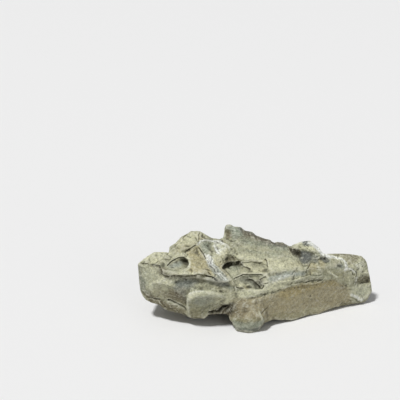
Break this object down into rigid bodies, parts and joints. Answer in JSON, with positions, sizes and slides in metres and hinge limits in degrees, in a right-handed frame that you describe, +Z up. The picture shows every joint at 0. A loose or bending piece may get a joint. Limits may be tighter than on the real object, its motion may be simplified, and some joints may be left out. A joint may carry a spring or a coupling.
{
  "type": "dragon stone",
  "caption": "Natural piece of layered clay stone with worn pockets, ledges and lobes, standing on a small foot and its back edge.",
  "frame": {"origin": "on the ground, at the middle of the bounding box", "axes": "+X along the length, towards the blunt end; -Y towards the front with the pockets; +Z up"},
  "size_m": [0.2244, 0.1008, 0.0868],
  "materials": {
    "clay_stone": "dry, matte, layered grey-green and tan clay stone with pale mineral streaks"
  },
  "bodies": {
    "root": {"stone": "clay_stone"}
  },
  "joints": []
}
